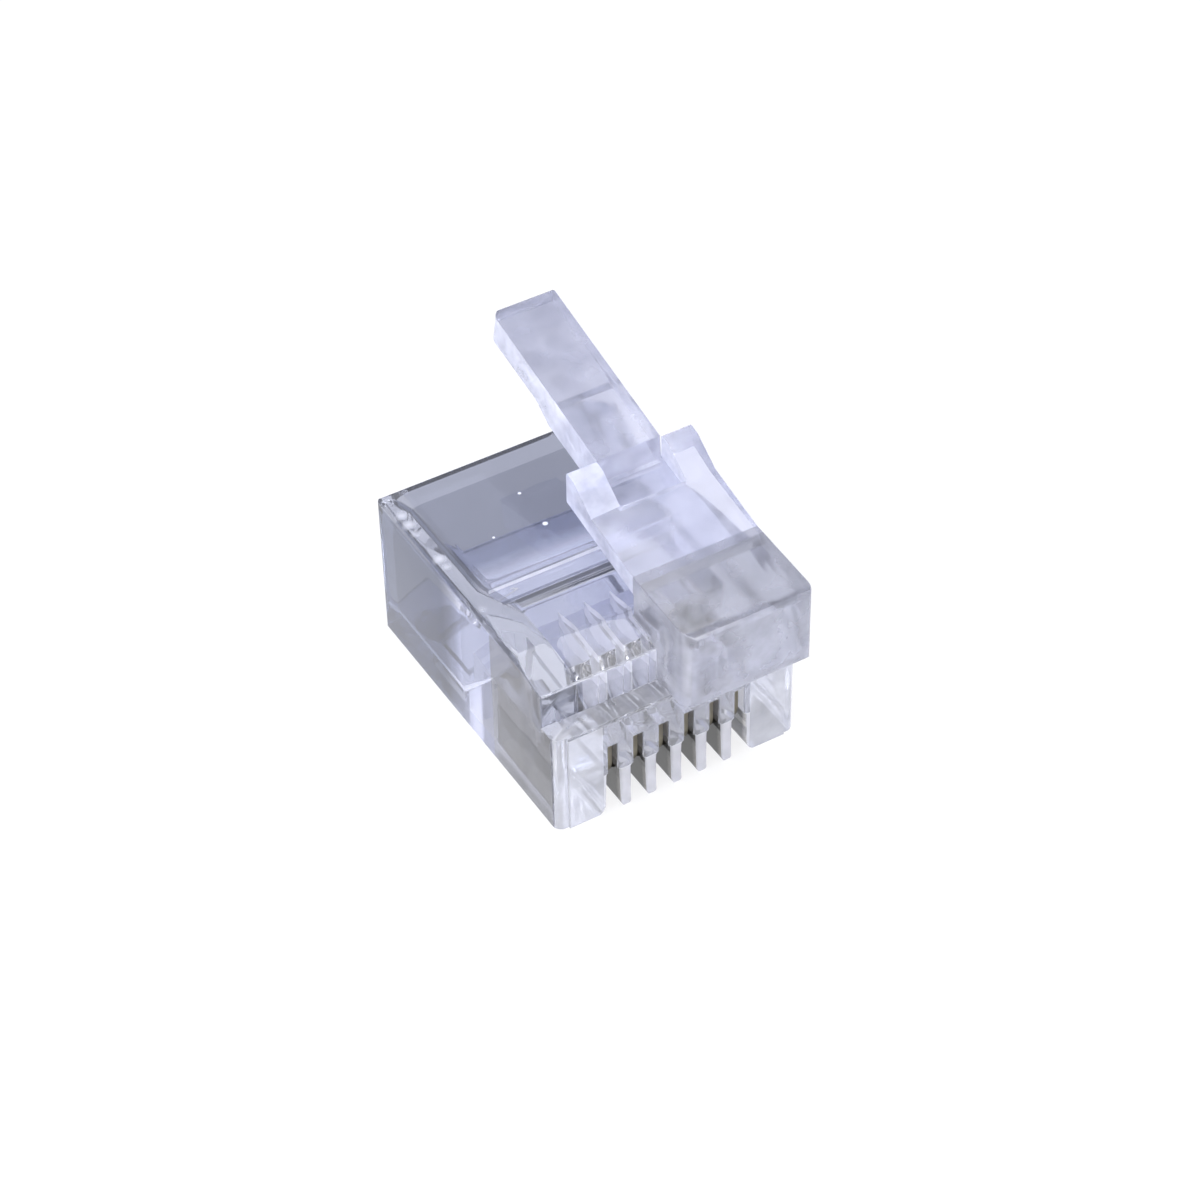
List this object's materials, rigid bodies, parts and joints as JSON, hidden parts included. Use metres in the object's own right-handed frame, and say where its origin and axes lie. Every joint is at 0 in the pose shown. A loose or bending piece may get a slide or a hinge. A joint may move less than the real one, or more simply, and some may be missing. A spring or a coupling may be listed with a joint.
{
  "type": "modular plug",
  "caption": "Clear moulded modular cable plug with blade contacts in fins at the nose, an open cable cavity at the rear, and an offset latch lever that presses down.",
  "frame": {"origin": "centre of the overall box in plan, on the contact side that the plug lies on", "axes": "+X to the latch side seen from the nose, +Y from the nose towards the cable, +Z from the contacts up to the latch"},
  "size_m": [0.0096, 0.0153, 0.0109],
  "materials": {
    "clear_plastic": "clear glossy moulding, faintly blue-grey",
    "contact_gold": "thin gold plating over stamped metal"
  },
  "bodies": {
    "plug": {"housing": "clear_plastic", "contact_1": "contact_gold", "contact_2": "contact_gold", "contact_3": "contact_gold", "contact_4": "contact_gold", "contact_5": "contact_gold", "contact_6": "contact_gold"},
    "latch": {"latch_lever": "clear_plastic"}
  },
  "joints": [
    {"name": "latch_press", "type": "hinge", "parent": "plug", "child": "latch", "pos_m": [0.00224, -0.00416, 0.00693], "axis": [-1, 0, 0], "range_deg": [0, 15], "stiffness_Nm_per_rad": 0.2}
  ]
}
